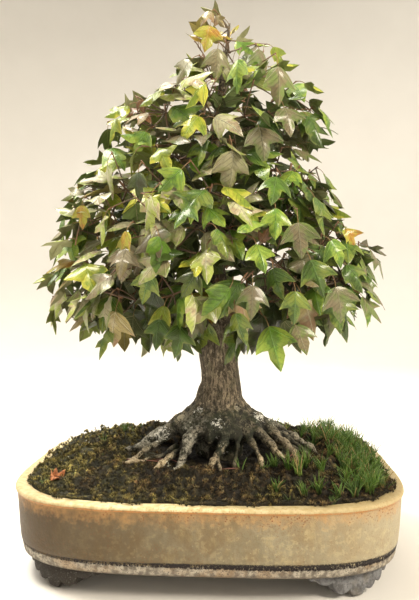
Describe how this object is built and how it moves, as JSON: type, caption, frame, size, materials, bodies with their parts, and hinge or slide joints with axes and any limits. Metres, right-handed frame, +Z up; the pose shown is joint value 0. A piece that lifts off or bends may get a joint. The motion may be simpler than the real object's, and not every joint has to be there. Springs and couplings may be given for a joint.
{
  "type": "trident maple bonsai in a shallow pot",
  "caption": "Upright bonsai tree with a flared root base, tapering trunk and cone of lobed leaves, growing from mossy soil in a shallow glazed pot on bracket feet.",
  "frame": {"origin": "on the standing surface, under the middle of the pot", "axes": "+Z up, +X to the tree's right as its front is looked at, the front faces -Y"},
  "size_m": [0.36, 0.272, 0.5497],
  "materials": {
    "glaze": "mottled ochre glaze, satin",
    "clay": "rough unglazed grey clay",
    "soil": "granular soil with moss and short grass",
    "bark": "rough bark, mossy near the roots",
    "leaves": "thin satin leaves on reddish stalks"
  },
  "bodies": {
    "root": {"bough_1_1": "bark", "bough_1_2": "bark", "bough_1_3": "bark", "bough_1_4": "bark", "bough_1_5": "bark", "bough_2_1": "bark", "bough_2_2": "bark", "bough_2_3": "bark", "bough_2_4": "bark", "bough_3_1": "bark", "bough_3_2": "bark", "bough_3_3": "bark", "foliage_1_1": "leaves", "foliage_1_2": "leaves", "foliage_1_3": "leaves", "foliage_1_4": "leaves", "foliage_1_5": "leaves", "foliage_2_1": "leaves", "foliage_2_2": "leaves", "foliage_2_3": "leaves", "foliage_2_4": "leaves", "foliage_3_1": "leaves", "foliage_3_2": "leaves", "foliage_3_3": "leaves", "foliage_apex": "leaves", "foot_back_left": "clay", "foot_back_right": "clay", "foot_front_left": "clay", "foot_front_right": "clay", "pot": "glaze", "soil": "soil", "trunk": "bark"}
  },
  "joints": []
}
